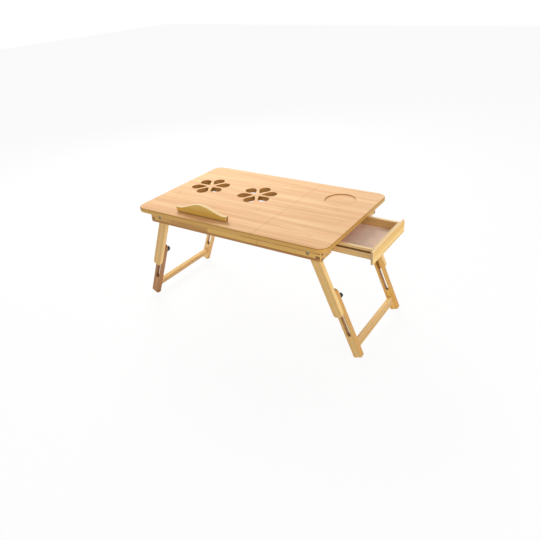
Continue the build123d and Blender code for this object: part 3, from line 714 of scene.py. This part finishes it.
class DESK_OT_knobs(bpy.types.Operator):
    """Models the lobed clamping knobs with their collars and studs"""

    bl_idname = "desk.knobs"
    bl_label = "Clamping knobs"

    flute = 0.72  # radius in the flutes, as a share of the radius at the lobes
    # each step of the grip is a share of the last outline, and its height as a share of the grip
    steps = ((1.0, 0.05), (0.93, 0.78), (0.94, 0.92), (0.8, 1.0), (0.72, 1.0), (0.9, 0.94), (0.6, 0.94))

    def execute(self, context):
        sizes = context.scene.desk_sizes
        low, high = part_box("right_front_knob")
        radius = (high.x - low.x) / 2
        base = high.y - low.y - sizes.knob_length
        collar, stud = sizes.knob_collar, sizes.knob_stud / 2
        grip = self.grip(radius, base + collar, sizes.knob_length - collar, sizes.knob_lobes)
        soft = 0.0007  # rounding of the collar
        ring = turned([(stud, base), (radius * 0.9, base), (radius * 0.98, base + soft),
                       (radius * 0.98, base + collar - soft), (radius * 0.9, base + collar)], 48)
        pin = turned([(stud * 0.8, 0), (stud, 0.0008), (stud, base + soft)], 32)
        for piece, angle, finish in ((ring, 32, black_abs()), (pin, 32, steel()), (grip, 60, black_abs())):
            smooth(piece, angle)
            piece.data.materials.append(finish)
        start_clean()
        for piece in (ring, pin, grip):
            piece.select_set(True)
        bpy.context.view_layer.objects.active = grip
        bpy.ops.object.join()
        for side in SIDES:
            for face, way in zip(FACES, (1, -1)):
                node = f"{side}_{face}_knob"
                start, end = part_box(node)
                middle = (start + end) / 2
                piece = bpy.data.objects.new(f"{node}_moulded", grip.data.copy())
                context.scene.collection.objects.link(piece)
                foot = start.y if way > 0 else end.y
                piece.data.transform(pointing((middle.x, foot, middle.z), (0, way, 0)))
                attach(piece, node)
                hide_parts(node)
        bpy.data.objects.remove(grip)
        return {"FINISHED"}

    def grip(self, radius, base, length, lobes):
        """The grip: a lobed post that narrows a little to a dished, rounded end."""
        start_clean()
        # four points to a lobe: two stay out, two are drawn in to a flute
        bpy.ops.mesh.primitive_circle_add(
            vertices=4 * lobes, radius=radius * 0.97, fill_type="NGON", location=(0, 0, base))
        bpy.ops.object.transform_apply(location=True, rotation=True, scale=True)
        grip = bpy.context.object
        bpy.ops.object.mode_set(mode="EDIT")
        bpy.ops.mesh.select_mode(type="VERT")
        bpy.ops.mesh.select_all(action="DESELECT")
        bpy.ops.object.mode_set(mode="OBJECT")
        for vertex in grip.data.vertices:
            vertex.select = vertex.index % 4 >= 2
        bpy.ops.object.mode_set(mode="EDIT")
        bpy.ops.transform.resize(value=(self.flute, self.flute, 1), center_override=(0, 0, base))
        bpy.ops.mesh.select_mode(type="FACE")
        bpy.ops.mesh.select_all(action="SELECT")
        last = 0.0
        for share, rise in self.steps:
            bpy.ops.mesh.extrude_region_move(TRANSFORM_OT_translate={"value": (0, 0, (rise - last) * length)})
            bpy.ops.transform.resize(value=(share, share, 1), center_override=(0, 0, base + rise * length))
            last = rise
        bpy.ops.mesh.select_all(action="SELECT")
        bpy.ops.mesh.normals_make_consistent(inside=False)
        bpy.ops.object.mode_set(mode="OBJECT")
        round_off = grip.modifiers.new("round_off", "SUBSURF")
        round_off.levels = round_off.render_levels = 2
        bpy.ops.object.modifier_apply(modifier=round_off.name)
        return grip


class DESK_OT_hinges(bpy.types.Operator):
    """Plates the panel's hinges and puts three screws in each leaf"""

    bl_idname = "desk.hinges"
    bl_label = "Panel hinges"

    pitch, inset = 0.013, 0.0042  # from screw to screw, and from the free edge of a leaf to its screws
    sunk, proud = 0.00005, 0.00003  # the heads end just below a leaf's face, so that the leaves can close

    def execute(self, context):
        sizes = context.scene.desk_sizes
        screw = screw_head(sizes.hinge_screw_head, self.proud)
        for side in SIDES:
            for leaf, body, up in (("rail", "frame", 1), ("panel", "tilt_panel", -1)):
                node = f"hinge_{leaf}_leaf_{side}"
                dress(steel(), node)
                low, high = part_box(node)
                z = joints["panel_tilt"]["pos_m"][2] - up * self.sunk
                middle = (low.x + high.x) / 2
                y = high.y - self.inset
                places = {f"{node}_screw_{i + 1}": (middle + (i - 1) * self.pitch, y, z) for i in range(3)}
                screws(screw, body, steel(), places, (0, 0, up))
        bpy.data.objects.remove(screw)
        return {"FINISHED"}


class DESK_OT_prop(bpy.types.Operator):
    """Plates the wire prop, moulds its clips, and screws the drawer runners and the seam rail to the top"""

    bl_idname = "desk.prop"
    bl_label = "Prop and screws under the top"

    runner_half = 0.004  # outer side of a drawer runner to the middle of its strip
    end_inset = 0.015  # end of a strip to its last screw

    def execute(self, context):
        sizes, colours = context.scene.desk_sizes, context.scene.desk_colours
        dress(steel(), "prop_wire")
        # moulded nylon: waxy and faintly mottled
        nylon = speckled("moulded nylon", colours.nylon, grain=0.0008, roughness=0.5, bump_depth=0.00004,
                         spread=0.06)
        dress(nylon, "prop_clips")
        screw = screw_head(sizes.screw_head, sizes.screw_proud)
        for name in ("drawer_runner_front", "drawer_runner_back", "seam_rail"):
            low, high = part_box(name)
            long_way = 0 if high.x - low.x > high.y - low.y else 1
            middle = (low + high) / 2
            if name.startswith("drawer_runner"):
                # the tongue sticks out of one side, so the screws go up the middle of the strip alone
                middle.y = high.y - self.runner_half if name.endswith("back") else low.y + self.runner_half
            reach = (high[long_way] - low[long_way]) / 2 - self.end_inset
            places = {}
            for i in range(3):
                place = Vector((middle.x, middle.y, low.z))
                place[long_way] += (i - 1) * reach
                places[f"{name}_screw_{i + 1}"] = place
            screws(screw, "frame", steel(), places, (0, 0, -1))
        bpy.data.objects.remove(screw)
        return {"FINISHED"}


class DESK_OT_stage(bpy.types.Operator):
    """Sets the pale floor, the soft lights and the camera"""

    bl_idname = "desk.stage"
    bl_label = "Stage"

    floor_glow = 0.92  # how far the floor is plain white to the camera
    room_light = 0.42  # light of the room on the desk, where 1 is the white that the camera sees

    def execute(self, context):
        colours = context.scene.desk_colours
        start_clean()
        bpy.ops.mesh.primitive_plane_add(size=14)
        floor = context.object
        floor.name = "studio_floor"
        floor.data.materials.append(self.floor_material(colours.floor))
        self.light("back_softbox", place=(-1.1, 1.0, 1.3), aim=(0, 0, 0.29), size=1.0, power=33)
        self.light("right_softbox", place=(2.3, -0.3, 0.9), aim=(0.1, 0, 0.2), size=1.4, power=24)
        self.light("front_fill", place=(0.9, -2.4, 0.5), aim=(0, 0, 0.2), size=2.0, power=18)
        self.surroundings(context.scene)
        self.camera(context.scene)
        context.scene.view_settings.view_transform = "Standard"
        return {"FINISHED"}

    def floor_material(self, colour):
        """White paper: to the camera mostly white by itself, so that only a soft trace of the shadow is left.
        From below it is clear, so that the underside of the desk can be looked at."""
        material, tree, shader = new_material("white paper floor")
        feed(tree, shader, Base_Color=linear(colour), Roughness=0.9)
        put = partial(add, tree)
        seen = put("LightPath")["Is Camera Ray"]
        glow = put("Emission", {"Color": (1, 1, 1, 1), "Strength": 1.0})[0]
        share = put("Math", (seen, self.floor_glow), operation="MULTIPLY")[0]
        both = put("MixShader", (share, shader.outputs[0], glow))[0]
        below = put("NewGeometry")["Backfacing"]
        clear = put("BsdfTransparent")[0]
        paper = put("MixShader", (below, both, clear))[0]
        tree.links.new(paper, tree.nodes["Material Output"].inputs["Surface"])
        return material

    def light(self, name, place, aim, size, power):
        """A square softbox at a place, aimed at another, with its size in metres and its power in watts."""
        bpy.ops.object.light_add(type="AREA", location=place)
        lamp = bpy.context.object
        lamp.name = name
        lamp.data.size, lamp.data.energy = size, power
        # the satin lacquer mirrors the white room alone
        lamp.visible_glossy = False
        lamp.rotation_euler = (Vector(aim) - Vector(place)).to_track_quat("-Z", "Y").to_euler()

    def surroundings(self, scene):
        """A white room: plain light on the desk, and white where the camera or a gloss sees past it."""
        world = scene.world or bpy.data.worlds.new("white room")
        scene.world = world
        world.use_nodes = True
        tree = world.node_tree
        tree.nodes.clear()
        put = partial(add, tree)
        seen = put("LightPath")
        clear = put("Math", (seen["Is Camera Ray"], seen["Is Glossy Ray"]), operation="MAXIMUM")[0]
        clear = put("Math", (clear, seen["Is Transmission Ray"]), operation="MAXIMUM")[0]
        strength = put("MapRange", (clear, 0.0, 1.0, self.room_light, 1.0))[0]
        sky = put("Background", {"Color": (1, 1, 1, 1), "Strength": strength})[0]
        put("OutputWorld", {"Surface": sky})

    def camera(self, scene):
        """The camera that was fitted to the photograph."""
        data = bpy.data.cameras.new("photo camera")
        camera = bpy.data.objects.new("photo_camera", data)
        scene.collection.objects.link(camera)
        camera.location = (0.72941, -1.00438, 0.81105)
        camera.rotation_euler = [radians(a) for a in (59.2604, 2.6184, 30.6931)]
        data.sensor_width, data.lens = 36.0, 34.6699
        data.shift_x, data.shift_y = -0.05616, 0.01084
        scene.camera = camera


OPERATORS = (DESK_OT_top, DESK_OT_rails, DESK_OT_legs, DESK_OT_drawer, DESK_OT_pivot_bolts, DESK_OT_knobs,
             DESK_OT_hinges, DESK_OT_prop, DESK_OT_stage)


class DESK_PT_panel(bpy.types.Panel):
    """Lists the steps that dress the desk"""

    bl_idname = "DESK_PT_panel"
    bl_label = "Laptop desk"
    bl_space_type = "VIEW_3D"
    bl_region_type = "UI"
    bl_category = "Laptop desk"

    def draw(self, context):
        for step in OPERATORS:
            self.layout.operator(step.bl_idname)
        for group in (context.scene.desk_sizes, context.scene.desk_colours):
            for name in group.__annotations__:
                self.layout.prop(group, name)


CLASSES = (DeskSizes, DeskColours, *OPERATORS, DESK_PT_panel)


def register():
    for cls in CLASSES:
        bpy.utils.register_class(cls)
    bpy.types.Scene.desk_sizes = PointerProperty(type=DeskSizes)
    bpy.types.Scene.desk_colours = PointerProperty(type=DeskColours)


def unregister():
    del bpy.types.Scene.desk_colours
    del bpy.types.Scene.desk_sizes
    for cls in reversed(CLASSES):
        bpy.utils.unregister_class(cls)


def main():
    register()
    bpy.ops.desk.top()
    bpy.ops.desk.rails()
    bpy.ops.desk.legs()
    bpy.ops.desk.drawer()
    bpy.ops.desk.pivot_bolts()
    bpy.ops.desk.knobs()
    bpy.ops.desk.hinges()
    bpy.ops.desk.prop()
    bpy.ops.desk.stage()


if __name__ == "__main__":
    main()
